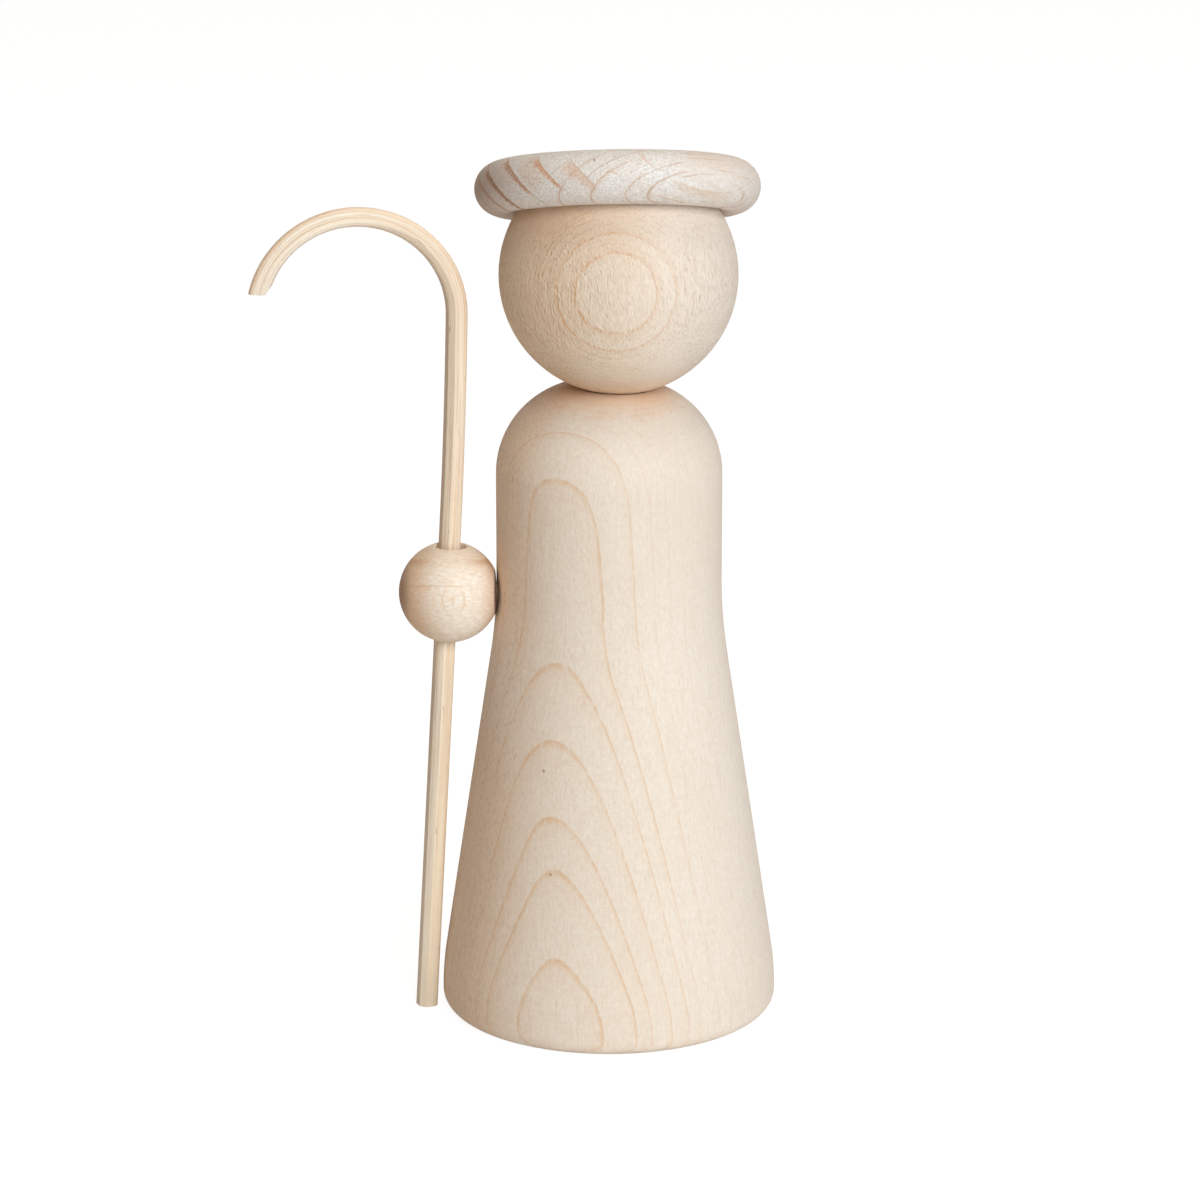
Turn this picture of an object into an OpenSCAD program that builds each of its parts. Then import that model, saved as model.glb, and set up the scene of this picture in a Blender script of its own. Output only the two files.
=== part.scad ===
// Wooden peg doll with a ring for a hat and a bent crook held in a bead.
// Millimetres. +Z is up, -Y is the doll's front and the crook stands at -X.
// The origin is the centre of the flat foot that the body stands on.

/* [Body] */
// Diameter of the body at its foot
base_d = 50.2; // [46:0.1:56]
// Diameter of the straight upper part of the body
waist_d = 33.4; // [32:0.1:36]
// Height at which the flare runs into the straight upper part
waist_z = 61.1; // [50:0.1:64]
// Height at which the shoulders start to round
shoulder_z = 82.6; // [79:0.1:96]
// Radius of the rounded shoulders
shoulder_r = 13.6; // [10:0.1:14]
// Radius of the rounding along the bottom edge
base_round_r = 2.3; // [0.5:0.1:3]
// Radius of the swell above the bottom edge
swell_r = 46; // [20:1:60]
// Radius of the hollow sweep between the flare and the straight part
blend_r = 80; // [20:1:90]

/* [Head] */
// Diameter of the ball
head_d = 35; // [32:0.1:38]
// Depth of the shoulder's cup below the top of the shoulders
head_sink = 1.3; // [1.2:0.05:2.5]
// How far the head stands off the body's centre line, away from the crook
head_offset = 1.35; // [0:0.05:1.5]
// Running gap between the ball and its cup
head_gap = 0.1; // [0.05:0.01:0.3]

/* [Neck dowel] */
// Diameter of the dowel that the head turns on
neck_dowel_d = 6; // [4:0.1:8]
// Depth that the dowel is glued into the body
neck_dowel_in_body = 11; // [6:0.1:16]
// Depth that the dowel reaches into the head
neck_dowel_in_head = 10; // [6:0.1:14]

/* [Hat ring] */
// Outer diameter of the ring
hat_d = 41.8; // [38:0.1:44]
// Thickness of the ring's round section
hat_t = 7.8; // [7:0.1:9.5]
// Depth of the seat sanded in the ring where it is glued on the head
hat_seat = 0.25; // [0.1:0.05:0.5]
// How far the ring is tipped back
hat_tilt = 16.5; // [0:0.5:24]
// How far the ring drops towards the crook
hat_roll = 0.7; // [0:0.1:2]

/* [Hand bead] */
// Diameter of the bead
bead_d = 15; // [14:0.1:17]
// Height of the bead's centre
bead_z = 64.9; // [62:0.1:70]
// Depth of the flat sanded on the bead where it meets the body
bead_flat = 0.7; // [0.5:0.05:1]
// Diameter of the bead's hole
bead_bore_d = 4.5; // [4.5:0.05:5]
// How much less the bead's hole leans than the rod that stands in it
bead_bore_play_angle = 1.2; // [-0.2:0.1:1.4]
// Width of the softened edge round each end of the hole
bead_bore_chamfer = 0.25; // [0.1:0.05:0.4]
// Turn of the hand from the body's side towards its front
hand_turn = 5; // [5:0.5:12]

/* [Hand dowel] */
// Diameter of the pin between the bead and the body
hand_dowel_d = 3; // [2:0.1:4]
// Depth that the pin reaches into the body
hand_dowel_in_body = 6; // [4:0.1:9]
// Depth that the pin reaches into the bead
hand_dowel_in_bead = 3.2; // [2:0.1:3.4]

/* [Crook] */
// Thickness of the rod across its flats
crook_t = 2.75; // [2.4:0.05:2.9]
// Thickness of the rod across its rounded corners
crook_corner_d = 3.35; // [3:0.05:3.4]
// Turn of the rod's flats about its own length
crook_section_turn = 16; // [0:1:45]
// Gap between the rod's foot and the edge of the body's foot
crook_foot_gap = 0.93; // [0.25:0.01:0.95]
// How far the rod stands off the hole's centre at the bead's height
crook_offset = 0.36; // [0.2:0.01:0.36]
// Length of the rod's lower part, from its foot to its bend
crook_straight_l = 90.2; // [87:0.1:97]
// Length of the rod from its bend to the start of the hook
crook_upper_l = 16.8; // [14:0.1:19]
// Bend between the two, away from the body
crook_bend_angle = 2; // [1.5:0.1:3]
// Radius of the hook, to the middle of the rod
hook_r = 14.6; // [12:0.1:17]
// How far the hook's tip stays above the level of its centre
hook_tip_z = 3.4; // [1:0.1:6]
// Turn of the hook towards the front of the doll
hook_turn = 2; // [0:0.5:10]

/* [Hidden] */

// Thin layer of glue between pieces that are glued together
glue_gap = 0.05;
// Air left past the end of a dowel in its hole
dowel_end_gap = 0.5;
// Air left past the end of the hand's pin in the bead
pin_end_gap = 0.3;
// Radial clearance of the neck dowel in the head's hole
head_bore_gap = 0.06;
// Width of the bevel on the ends of both dowels
dowel_bevel = 0.4;
// Glue gap between the bead's flat and the body
bead_seat_gap = 0.22;
// Overrun of every cutting shape
cut = 1;
$fn = 96;

base_r = base_d / 2;
waist_r = waist_d / 2;
head_r = head_d / 2;
bead_r = bead_d / 2;
hat_section_r = hat_t / 2;
hat_centre_r = (hat_d - hat_t) / 2;

// The swell's centre, and the line from the waist that touches the swell
swell_x = base_r - swell_r;
swell_run = [swell_x - waist_r, base_round_r - waist_z];
flare_angle = atan2(swell_run.y, swell_run.x) + asin(swell_r / norm(swell_run)) + 90;
flare_start = [swell_x + swell_r * cos(flare_angle), base_round_r + swell_r * sin(flare_angle)];
blend_z = waist_z + blend_r * tan(flare_angle / 2);
flare_end = [waist_r + blend_r * (1 - cos(flare_angle)), blend_z - blend_r * sin(flare_angle)];

shoulder_x = waist_r - shoulder_r;
body_top_z = shoulder_z + shoulder_r;
head_z = body_top_z - head_sink + head_r;

// Height of the neck dowel's lower end and its full length
neck_dowel_z = body_top_z - head_sink - neck_dowel_in_body;
neck_dowel_l = neck_dowel_in_body + neck_dowel_in_head;

// Radius of the ring's seat, and the distance from the ball's centre to the ring's centre
hat_seat_r = head_r + glue_gap;
hat_rise = sqrt(pow(hat_seat_r + hat_section_r - hat_seat, 2) - pow(hat_centre_r, 2));

// Distance from the body's centre line to the bead's centre and to its flat
bead_flat_x = waist_r + bead_seat_gap;
bead_x = bead_flat_x + bead_r - bead_flat;

// Distance from the body's centre line to the rod's foot, and the lean that brings the rod from
// there into the hand
crook_foot_x = base_r + crook_foot_gap + crook_corner_d / 2;
crook_lean = atan((crook_foot_x - bead_x - crook_offset) / bead_z);
bead_bore_lean = crook_lean - bead_bore_play_angle;

module body_profile() {
    difference() {
        union() {
            polygon([
                [0, 0],
                [base_r - base_round_r, 0],
                [base_r, base_round_r],
                flare_start,
                flare_end,
                [waist_r, blend_z],
                [waist_r, shoulder_z],
                [shoulder_x, body_top_z],
                [0, body_top_z]
            ]);
            translate([base_r - base_round_r, base_round_r]) circle(r = base_round_r);
            intersection() {
                translate([swell_x, base_round_r]) circle(r = swell_r);
                translate([0, base_round_r]) square([base_d, flare_start.y - base_round_r]);
            }
            intersection() {
                translate([shoulder_x, shoulder_z]) circle(r = shoulder_r);
                translate([0, shoulder_z]) square([base_d, shoulder_r + cut]);
            }
        }
        translate([waist_r + blend_r, blend_z]) circle(r = blend_r);
    }
}

// Turned body with the cup for the head, the neck's hole and the hand's hole
module body() {
    color([0.90, 0.78, 0.64])
    difference() {
        rotate_extrude() body_profile();
        translate([head_offset, 0, head_z]) sphere(r = head_r + head_gap);
        translate([head_offset, 0, neck_dowel_z])
            cylinder(d = neck_dowel_d + 2 * glue_gap, h = neck_dowel_in_body + cut);
        hand_side() translate([-waist_r + hand_dowel_in_body, 0, bead_z]) rotate([0, -90, 0])
            cylinder(d = hand_dowel_d + 2 * glue_gap, h = hand_dowel_in_body + cut);
    }
}

// Straight dowel with bevelled ends, standing on its lower end
module dowel(d, l) {
    cylinder(d1 = d - 2 * dowel_bevel, d2 = d, h = dowel_bevel);
    translate([0, 0, dowel_bevel]) cylinder(d = d, h = l - 2 * dowel_bevel);
    translate([0, 0, l - dowel_bevel]) cylinder(d1 = d, d2 = d - 2 * dowel_bevel, h = dowel_bevel);
}

// Dowel glued into the body, on which the head turns
module neck_dowel() {
    color([0.80, 0.66, 0.48])
    translate([head_offset, 0, neck_dowel_z]) dowel(neck_dowel_d, neck_dowel_l);
}

// Ball head, bored from below for the neck dowel
module head() {
    color([0.86, 0.71, 0.55])
    translate([head_offset, 0, head_z])
    difference() {
        sphere(r = head_r);
        translate([0, 0, -head_r - cut])
            cylinder(
                d = neck_dowel_d + 2 * head_bore_gap,
                h = neck_dowel_in_head + dowel_end_gap + cut
            );
    }
}

// Round ring glued on the crown of the head as a hat
module hat_ring() {
    color([0.88, 0.80, 0.72])
    translate([head_offset, 0, head_z]) rotate([-hat_tilt, -hat_roll, 0])
    rotate_extrude() difference() {
        translate([hat_centre_r, hat_rise]) circle(r = hat_section_r);
        circle(r = hat_seat_r);
    }
}

// Places a child, drawn with the hand straight out at -X, on the hand's side of the body
module hand_side() {
    rotate([0, 0, hand_turn]) children();
}

// Bead's hole with a softened edge at each end
module bead_bore() {
    bore_r = bead_bore_d / 2;
    rim_z = sqrt(bead_r * bead_r - bore_r * bore_r);
    rotate([0, bead_bore_lean, 0]) {
        translate([0, 0, -bead_r - cut]) cylinder(r = bore_r, h = bead_d + 2 * cut);
        for (side = [0, 1]) mirror([0, 0, side])
            translate([0, 0, rim_z - bead_bore_chamfer])
                cylinder(
                    r1 = bore_r,
                    r2 = bore_r + bead_bore_chamfer + cut,
                    h = bead_bore_chamfer + cut
                );
    }
}

// Bead that serves as the hand: a flat towards the body, and a hole for the crook
module hand_bead() {
    color([0.84, 0.69, 0.53])
    hand_side() translate([-bead_x, 0, bead_z])
    difference() {
        sphere(r = bead_r);
        bead_bore();
        translate([bead_r - bead_flat, -bead_r, -bead_r]) cube([bead_flat + cut, bead_d, bead_d]);
        translate([bead_r - bead_flat + cut, 0, 0]) rotate([0, -90, 0])
            cylinder(
                d = hand_dowel_d + 2 * glue_gap,
                h = hand_dowel_in_bead + pin_end_gap + cut
            );
    }
}

// Pin that carries the bead on the body
module hand_dowel() {
    color([0.80, 0.66, 0.48])
    hand_side() translate([-waist_r + hand_dowel_in_body, 0, bead_z]) rotate([0, -90, 0])
        dowel(hand_dowel_d, hand_dowel_in_body + bead_seat_gap + hand_dowel_in_bead);
}

// Section of the rod: a square with its corners rounded off
module crook_section(turn) {
    rotate(turn) intersection() {
        square(crook_t, center = true);
        circle(d = crook_corner_d);
    }
}

// Straight stretch of the rod from the level of the origin upwards, leaning by an angle
module crook_stretch(l, angle) {
    difference() {
        rotate([0, angle, 0]) translate([0, 0, -cut])
            linear_extrude(height = l + cut) crook_section(crook_section_turn);
        translate([-crook_corner_d, -crook_corner_d, -2 * cut])
            cube([2 * crook_corner_d, 2 * crook_corner_d, 2 * cut]);
    }
}

// Half turn of the rod, starting upwards and ending in a level tip
module hook() {
    difference() {
        translate([-hook_r, 0, 0]) rotate([90, 0, 0]) rotate_extrude(angle = 180)
            translate([hook_r, 0]) crook_section(-crook_section_turn);
        translate([-2 * hook_r - crook_corner_d, -crook_corner_d, -crook_corner_d])
            cube([hook_r + crook_corner_d, 2 * crook_corner_d, crook_corner_d + hook_tip_z]);
    }
}

// Bent rod in one piece: a lower part, a slight bend and a hook, all of one section.
// Both straight stretches end on the plane that halves the bend.
module crook() {
    color([0.91, 0.81, 0.66])
    hand_side() translate([-crook_foot_x, 0, 0])
    difference() {
        rotate([0, crook_lean, 0]) rotate([0, 0, hook_turn]) translate([0, 0, crook_straight_l])
        rotate([0, -crook_bend_angle / 2, 0]) {
            mirror([0, 0, 1]) crook_stretch(crook_straight_l + cut, -crook_bend_angle / 2);
            crook_stretch(crook_upper_l, -crook_bend_angle / 2);
            rotate([0, -crook_bend_angle / 2, 0]) translate([0, 0, crook_upper_l]) hook();
        }
        translate([-crook_corner_d, -crook_corner_d, -crook_corner_d])
            cube([2 * crook_corner_d, 2 * crook_corner_d, crook_corner_d]);
    }
}

body();
neck_dowel();
head();
hat_ring();
hand_bead();
hand_dowel();
crook();
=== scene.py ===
"""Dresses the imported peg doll: a turned maple body, a beech ball for a head, a wooden ring for a hat,
a beech bead for a hand and a bent cane crook. Sizes and places are in millimetres until a surface
becomes a mesh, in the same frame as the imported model: +Z is up and -Y is the doll's front. The floor,
the light and the camera are in metres."""

from math import atan, cos, pi, radians, sin, sqrt, tan

import bpy
import numpy as np
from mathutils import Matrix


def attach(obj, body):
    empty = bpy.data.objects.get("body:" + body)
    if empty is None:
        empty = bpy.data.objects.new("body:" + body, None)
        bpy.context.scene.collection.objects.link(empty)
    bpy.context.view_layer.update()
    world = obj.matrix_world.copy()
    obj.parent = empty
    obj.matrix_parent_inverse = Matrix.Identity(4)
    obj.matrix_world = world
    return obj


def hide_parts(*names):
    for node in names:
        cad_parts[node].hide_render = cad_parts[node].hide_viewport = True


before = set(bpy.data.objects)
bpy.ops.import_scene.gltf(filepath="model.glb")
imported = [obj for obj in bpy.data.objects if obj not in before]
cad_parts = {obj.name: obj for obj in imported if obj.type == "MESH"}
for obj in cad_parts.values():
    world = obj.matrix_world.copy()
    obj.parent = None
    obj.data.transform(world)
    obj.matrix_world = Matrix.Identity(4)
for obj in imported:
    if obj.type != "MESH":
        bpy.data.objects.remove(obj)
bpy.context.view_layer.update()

MM = 0.001
WOOD_SPECULAR = 0.28

# Body
BASE_R = 25.1
WAIST_R = 16.7
WAIST_Z = 61.1
SHOULDER_Z = 82.6
SHOULDER_R = 13.6
BASE_ROUND_R = 2.3
SWELL_R = 46.0
BLEND_R = 80.0
BODY_TOP_Z = SHOULDER_Z + SHOULDER_R

# Head, its cup in the shoulders and the neck's holes
HEAD_R = 17.5
HEAD_SINK = 1.3
HEAD_X = 1.35
HEAD_Z = BODY_TOP_Z - HEAD_SINK + HEAD_R
HEAD_GAP = 0.1
NECK_HOLE_R = 3.05
NECK_HOLE_DEPTH = 11.0
NECK_HOLE_Z = BODY_TOP_Z - HEAD_SINK - NECK_HOLE_DEPTH
HEAD_HOLE_R = 3.06
HEAD_HOLE_DEPTH = 10.5
HEAD_HOLE_TOP = HEAD_HOLE_DEPTH - HEAD_R

# Hat ring
HAT_CENTRE_R = 17.0
HAT_SECTION_R = 3.9
HAT_SEAT = 0.25
HAT_GLUE = 0.05
HAT_SEAT_R = HEAD_R + HAT_GLUE
HAT_TILT = 16.5
HAT_ROLL = 0.7
HAT_RISE = sqrt((HAT_SEAT_R + HAT_SECTION_R - HAT_SEAT) ** 2 - HAT_CENTRE_R**2)

# Hand bead
BEAD_R = 7.5
BEAD_FLAT_X = 6.8
BEAD_GLUE = 0.22
BEAD_Z = 64.9
BEAD_X = WAIST_R + BEAD_GLUE + BEAD_FLAT_X
BEAD_HOLE_R = 2.25
BEAD_RIM = 0.25
HAND_TURN = 5.0

# Crook. A value that ends in S is a length along the rod from its foot. BOW_CORNER_S is where the straight
# lines below and above the bow would meet. The narrow flat is full up to one place and gone from another.
ROD_HALF = 1.375
ROD_CORNER_R = 1.675
ROD_TURN = 16.0
ROD_FLAT_R = 1.36
ROD_FLAT_ANGLE = 220.0
ROD_FLAT_FULL_S = 112.0
ROD_FLAT_GONE_S = 145.0
ROD_OFFSET = 0.36
ROD_FOOT_GAP = 0.93
ROD_FOOT_X = BASE_R + ROD_FOOT_GAP + ROD_CORNER_R
ROD_LEAN = atan((ROD_FOOT_X - BEAD_X - ROD_OFFSET) / BEAD_Z)
HOLE_LEAN_LESS = radians(1.2)
BEAD_HOLE_LEAN = ROD_LEAN - HOLE_LEAN_LESS
BOW_L = 33.5
BOW_ANGLE = radians(2.0)
BOW_R = BOW_L / BOW_ANGLE
BOW_CORNER_S = 90.2
STRAIGHT_L = BOW_CORNER_S - BOW_R * tan(BOW_ANGLE / 2)
HOOK_R = 14.6
HOOK_TIP_Z = 3.4
HOOK_TURN = 2.0
TIP_BEVEL_START = 0.75
TIP_BEVEL_SLOPE = 1.4


# Turns about X, Y and Z, as matrices
def turn_x(degrees):
    a = radians(degrees)
    return np.array([[1, 0, 0], [0, cos(a), -sin(a)], [0, sin(a), cos(a)]])


def turn_y(degrees):
    a = radians(degrees)
    return np.array([[cos(a), 0, sin(a)], [0, 1, 0], [-sin(a), 0, cos(a)]])


def turn_z(degrees):
    a = radians(degrees)
    return np.array([[cos(a), -sin(a), 0], [sin(a), cos(a), 0], [0, 0, 1]])


def grid_faces(rows, columns, closed_rows):
    """Corner indices of the four-sided faces between neighbouring rows of a grid whose columns close up."""
    last = rows if closed_rows else rows - 1
    low = np.arange(last)[:, None] * columns
    high = ((np.arange(last)[:, None] + 1) % rows) * columns
    here = np.arange(columns)[None, :]
    after = (here + 1) % columns
    return np.stack([low + here, low + after, high + after, high + here], axis=-1).reshape(-1, 4)


def pole_faces(row_start, columns, pole, outwards):
    """Corner indices of the triangles between one row of a grid and the point that closes it."""
    here = np.arange(columns)
    after = (here + 1) % columns
    first, second = (here, after) if outwards else (after, here)
    return np.stack([row_start + first, row_start + second, np.full(columns, pole)], axis=-1)


def make_piece(name, points, body, finish, node, closed_rows=False, rest=None):
    """Turns a grid of points (rows, columns, 3) in millimetres into a closed, smooth mesh.
    The columns close up. The rows close up too, or else end at the middle of the first and last row.
    rest, if given, is stored at every point for the material to read."""
    rows, columns = points.shape[:2]
    corners = points.reshape(-1, 3)
    faces = [grid_faces(rows, columns, closed_rows)]
    if not closed_rows:
        corners = np.vstack([corners, points[0].mean(axis=0), points[-1].mean(axis=0)])
        faces.append(pole_faces(0, columns, rows * columns, False))
        faces.append(pole_faces((rows - 1) * columns, columns, rows * columns + 1, True))
    sides = np.concatenate([np.full(len(group), group.shape[1]) for group in faces])
    loops = np.concatenate([group.ravel() for group in faces])
    starts = np.concatenate([[0], np.cumsum(sides)[:-1]])
    # Faces whose signed volumes add up to less than zero point inwards, and are turned over
    first, second, third = (corners[loops[starts + i]] for i in range(3))
    if np.einsum("ij,ij->i", first, np.cross(second, third)).sum() < 0:
        loops = np.concatenate([group[:, ::-1].ravel() for group in faces])

    mesh = bpy.data.meshes.new(name)
    mesh.vertices.add(len(corners))
    mesh.vertices.foreach_set("co", (corners * MM).ravel())
    mesh.loops.add(len(loops))
    mesh.loops.foreach_set("vertex_index", loops)
    mesh.polygons.add(len(sides))
    mesh.polygons.foreach_set("loop_start", starts)
    mesh.update(calc_edges=True)
    mesh.shade_smooth()
    if rest is not None:
        stored = rest.reshape(-1, 3)
        if not closed_rows:
            stored = np.vstack([stored, rest[0].mean(axis=0), rest[-1].mean(axis=0)])
        layer = mesh.attributes.new("unbent", "FLOAT_VECTOR", "POINT")
        layer.data.foreach_set("vector", stored.ravel())
    mesh.materials.append(finish)
    piece = bpy.data.objects.new(name, mesh)
    bpy.context.scene.collection.objects.link(piece)
    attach(piece, body)
    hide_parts(node)
    return piece


def revolve(radius, height, columns):
    """A profile carried round Z: (radius cos t, radius sin t, height) for t all the way round."""
    t = np.linspace(0, 2 * pi, columns, endpoint=False)
    x = radius[:, None] * np.cos(t)
    y = radius[:, None] * np.sin(t)
    z = np.broadcast_to(height[:, None], x.shape)
    return np.stack([x, y, z], axis=-1)


def body_profile():
    """Radius and height from the flat foot up to near the top of the shoulders: foot, round edge, swell of
    46 mm radius, straight flare that touches it, hollow sweep of 80 mm radius, straight upper part and
    round shoulders."""
    foot_inner_share = 0.4
    shoulder_end = 0.82 * pi / 2
    swell_x = BASE_R - SWELL_R
    run_x, run_z = swell_x - WAIST_R, BASE_ROUND_R - WAIST_Z
    flare = np.arctan2(run_z, run_x) + np.arcsin(SWELL_R / np.hypot(run_x, run_z)) + pi / 2
    blend_z = WAIST_Z + BLEND_R * tan(flare / 2)
    parts = []
    foot = np.linspace(foot_inner_share, 1, 16)[:-1]
    parts.append((foot * (BASE_R - BASE_ROUND_R), 0 * foot))
    edge = np.linspace(-pi / 2, 0, 14)
    parts.append((BASE_R - BASE_ROUND_R + BASE_ROUND_R * np.cos(edge), BASE_ROUND_R * (1 + np.sin(edge))))
    swell = np.linspace(0, flare, 16)[1:]
    parts.append((swell_x + SWELL_R * np.cos(swell), BASE_ROUND_R + SWELL_R * np.sin(swell)))
    start_r, start_z = parts[-1][0][-1], parts[-1][1][-1]
    end_r = WAIST_R + BLEND_R * (1 - cos(flare))
    end_z = blend_z - BLEND_R * sin(flare)
    straight = np.linspace(0, 1, 46)[1:]
    parts.append((start_r + (end_r - start_r) * straight, start_z + (end_z - start_z) * straight))
    sweep = np.linspace(flare, 0, 22)[1:]
    parts.append((WAIST_R + BLEND_R * (1 - np.cos(sweep)), blend_z - BLEND_R * np.sin(sweep)))
    upper = np.linspace(0, 1, 18)[1:]
    parts.append((WAIST_R + 0 * upper, blend_z + (SHOULDER_Z - blend_z) * upper))
    shoulder = np.linspace(0, shoulder_end, 46)[1:]
    shoulder_x = WAIST_R - SHOULDER_R
    parts.append((shoulder_x + SHOULDER_R * np.cos(shoulder), SHOULDER_Z + SHOULDER_R * np.sin(shoulder)))
    return np.concatenate([p[0] for p in parts]), np.concatenate([p[1] for p in parts])


def shoulder_height(x, y):
    """Height of the shoulders above a point of the plan: the round shoulder, lowered to the cup's sphere."""
    out = np.hypot(x, y) - (WAIST_R - SHOULDER_R)
    dome = SHOULDER_Z + np.sqrt(np.maximum(SHOULDER_R**2 - np.maximum(out, 0) ** 2, 0))
    cup_r = HEAD_R + HEAD_GAP
    inside = np.maximum(cup_r**2 - (x - HEAD_X) ** 2 - y**2, 0)
    return np.minimum(dome, HEAD_Z - np.sqrt(inside))


def body_points(columns=256):
    """The body's profile carried round Z, then circles that shift their centre from the body's axis to the
    neck hole's as they shrink, lying on the shoulders and the cup, then the hole's wall and its bottom."""
    radius, height = body_profile()
    outside = revolve(radius, height, columns)
    t = np.linspace(0, 2 * pi, columns, endpoint=False)
    shrink = np.linspace(0, 1, 26)[1:, None]
    ring_r = radius[-1] + (NECK_HOLE_R - radius[-1]) * shrink
    x = HEAD_X * shrink + ring_r * np.cos(t)
    y = ring_r * np.sin(t)
    top = np.stack([x, y, shoulder_height(x, y)], axis=-1)
    wall_rows = 7
    wall = np.repeat(top[-1:], wall_rows, axis=0)
    depth = np.linspace(0, 1, wall_rows + 1)[1:, None]
    wall[..., 2] = top[-1, :, 2] + (NECK_HOLE_Z - top[-1, :, 2]) * depth
    bottom = wall[-1:].copy()
    bottom[..., :2] = (bottom[..., :2] - [HEAD_X, 0]) * 0.5 + [HEAD_X, 0]
    return np.concatenate([outside, top, wall, bottom])


def head_points(columns=224):
    """A ball from its crown to the rim of the hole below, then the hole's wall and end, carried round the
    vertical through its centre."""
    crown = 0.012
    rim = np.arcsin(HEAD_HOLE_R / HEAD_R)
    wall_rows = 9
    polar = np.linspace(crown, pi - rim, 150)
    wall = np.linspace(-HEAD_R * cos(rim), HEAD_HOLE_TOP, wall_rows + 1)[1:]
    radius = np.concatenate([HEAD_R * np.sin(polar), np.full(wall_rows, HEAD_HOLE_R), [HEAD_HOLE_R / 2]])
    height = np.concatenate([HEAD_R * np.cos(polar), wall, [HEAD_HOLE_TOP]])
    return revolve(radius, height, columns) + [HEAD_X, 0, HEAD_Z]


def hat_points(rows=84, columns=320):
    """A circle of 3.9 mm radius carried round a circle of 17 mm, with the narrow seat where it is pushed out
    to the ball's surface, then tipped back."""
    v = np.linspace(0, 2 * pi, rows, endpoint=False)
    radius = HAT_CENTRE_R + HAT_SECTION_R * np.cos(v)
    height = HAT_RISE + HAT_SECTION_R * np.sin(v)
    push = np.maximum(HAT_SEAT_R / np.hypot(radius, height), 1)
    tipped = turn_y(-HAT_ROLL) @ turn_x(-HAT_TILT)
    return revolve(radius * push, height * push, columns) @ tipped.T + [HEAD_X, 0, HEAD_Z]


def bead_points(columns=200):
    """A ball from the upper rim of its hole to the lower one and back up the hole's wall, with a bevel at
    each rim, carried round the leaning hole; then its side towards the body is pressed flat."""
    rim_z = sqrt(BEAD_R**2 - BEAD_HOLE_R**2) - BEAD_RIM
    rim_r = BEAD_HOLE_R + BEAD_RIM
    rim = np.arcsin(rim_r / BEAD_R)
    wall_rows = 12
    polar = np.linspace(rim, pi - rim, 120)
    wall = np.linspace(-rim_z, rim_z, wall_rows)
    radius = np.concatenate([BEAD_R * np.sin(polar), np.full(wall_rows, BEAD_HOLE_R)])
    height = np.concatenate([BEAD_R * np.cos(polar), wall])
    ball = revolve(radius, height, columns) @ turn_y(np.degrees(BEAD_HOLE_LEAN)).T
    ball[..., 0] = np.minimum(ball[..., 0], BEAD_FLAT_X)
    return (ball + [-BEAD_X, 0, BEAD_Z]) @ turn_z(HAND_TURN).T


def rod_section(flat_r, columns=96):
    """The rod's outline: a square cut by a circle and, at its near left corner, by a flat at a distance from
    the middle, turned about the rod, with shallow grooves in its faces."""
    t = np.linspace(0, 2 * pi, columns, endpoint=False)
    face = ROD_HALF / np.maximum(np.abs(np.cos(t)), np.abs(np.sin(t)))
    least_cosine = 0.2
    flat = flat_r / np.maximum(np.cos(t - radians(ROD_FLAT_ANGLE)), least_cosine)
    # A high power follows the innermost of the three outlines and leaves their corners slightly soft
    power = 60.0
    r = (face**-power + ROD_CORNER_R**-power + flat**-power) ** (-1 / power)
    groove_places = np.radians([38, 57, 108, 139, 171, 203, 247, 262, 299, 341])
    groove_depths = np.array([0.030, 0.022, 0.035, 0.02, 0.03, 0.025, 0.03, 0.035, 0.02, 0.03])
    groove_half_width = 0.045
    apart = np.angle(np.exp(1j * (t[:, None] - groove_places)))
    r = r - (groove_depths * np.exp(-((apart / groove_half_width) ** 2))).sum(axis=1)
    turned = t + radians(ROD_TURN)
    return r * np.cos(turned), r * np.sin(turned)


def rod_place(p, q, s):
    """Where the section's point (p, q) is at length s along the rod, in the rod's own frame: up the straight
    part, round the bow of 960 mm radius and round the hook."""
    bow = np.clip((s - STRAIGHT_L) / BOW_R, 0, BOW_ANGLE)
    hook = np.maximum(s - STRAIGHT_L - BOW_L, 0) / HOOK_R
    turn = bow + hook
    along = np.minimum(s, STRAIGHT_L)
    x = -BOW_R * (1 - np.cos(bow)) - HOOK_R * (np.cos(bow) - np.cos(turn)) + p * np.cos(turn)
    z = along + BOW_R * np.sin(bow) + HOOK_R * (np.sin(turn) - np.sin(bow)) + p * np.sin(turn)
    return x, q + 0 * s, z


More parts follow.
